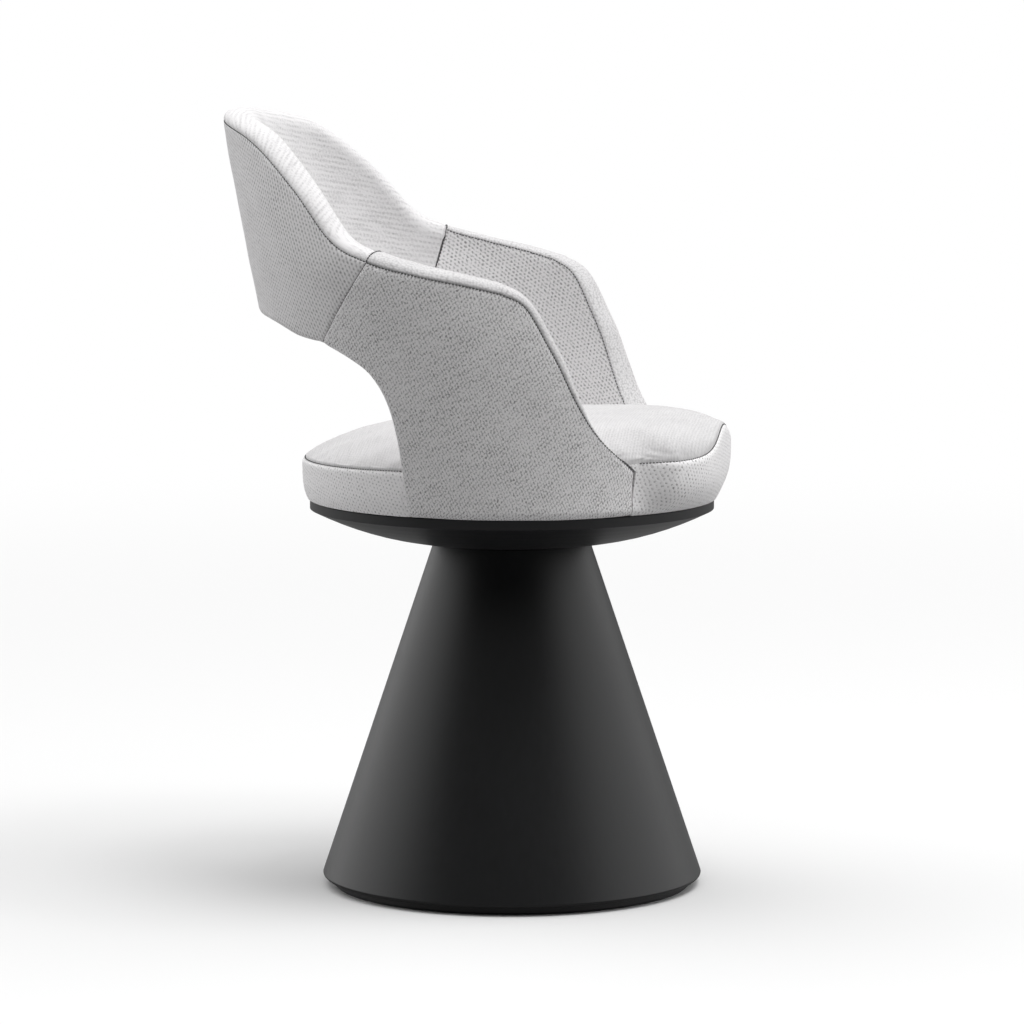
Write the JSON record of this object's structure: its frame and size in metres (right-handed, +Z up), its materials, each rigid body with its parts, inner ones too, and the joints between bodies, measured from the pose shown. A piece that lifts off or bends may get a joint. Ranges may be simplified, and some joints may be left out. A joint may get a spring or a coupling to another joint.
{
  "type": "pedestal swivel armchair",
  "caption": "Upholstered tub armchair with an open gap under the backrest, a crowned round seat and a shallow dish that swivels on a cone pedestal.",
  "frame": {"origin": "on the floor, on the swivel axis, at the centre of the floor pad", "axes": "+Z up along the swivel axis, the front of the seat towards -Y, the sitter's left towards +X"},
  "size_m": [0.483, 0.513, 0.7925],
  "materials": {
    "upholstery": "coarse plain-weave cloth, light warm grey with fine dark specks",
    "black_wood": "black stained veneer, satin lacquer",
    "black_metal": "black satin powder coat",
    "plywood": "bare birch plywood",
    "steel": "zinc-plated steel",
    "bronze": "sintered bronze",
    "felt": "dense black felt"
  },
  "bodies": {
    "pedestal": {"floor_pad": "felt", "base_plate": "black_metal", "base_screws": "steel", "cone_floor": "plywood", "cone_shell": "black_wood", "neck_collar": "plywood", "column": "steel", "column_bolts": "steel", "bearing_head": "steel", "lower_bush": "bronze", "upper_bush": "bronze", "lower_race": "steel"},
    "cage": {"ball_cage": "bronze", "bearing_balls": "steel"},
    "seat": {"upper_race": "steel", "spindle": "steel", "thrust_washer": "bronze", "retaining_ring": "steel", "swivel_plate": "steel", "plate_bolts": "steel", "board_inserts": "bronze", "dish": "black_metal", "dish_spacers": "steel", "dish_screws": "steel", "seat_board": "plywood", "arm_plate_left": "steel", "arm_plate_right": "steel", "arm_bolts": "steel", "seat_cushion": "upholstery", "tub_core": "plywood", "outer_back_pad": "upholstery", "inner_back_pad": "upholstery", "outer_arm_pad_left": "upholstery", "outer_arm_pad_right": "upholstery", "inner_arm_pad_left": "upholstery", "inner_arm_pad_right": "upholstery", "arm_band_left": "upholstery", "arm_band_right": "upholstery"}
  },
  "joints": [
    {"name": "seat_swivel", "type": "hinge", "parent": "pedestal", "child": "seat", "pos_m": [0, 0, 0.3], "axis": [0, 0, 1], "continuous": true},
    {"name": "cage_turn", "type": "hinge", "parent": "pedestal", "child": "cage", "pos_m": [0, 0, 0.35], "axis": [0, 0, 1], "continuous": true}
  ],
  "couplings": [
    {"joint": "cage_turn", "follows": "seat_swivel", "ratio": 0.5}
  ]
}
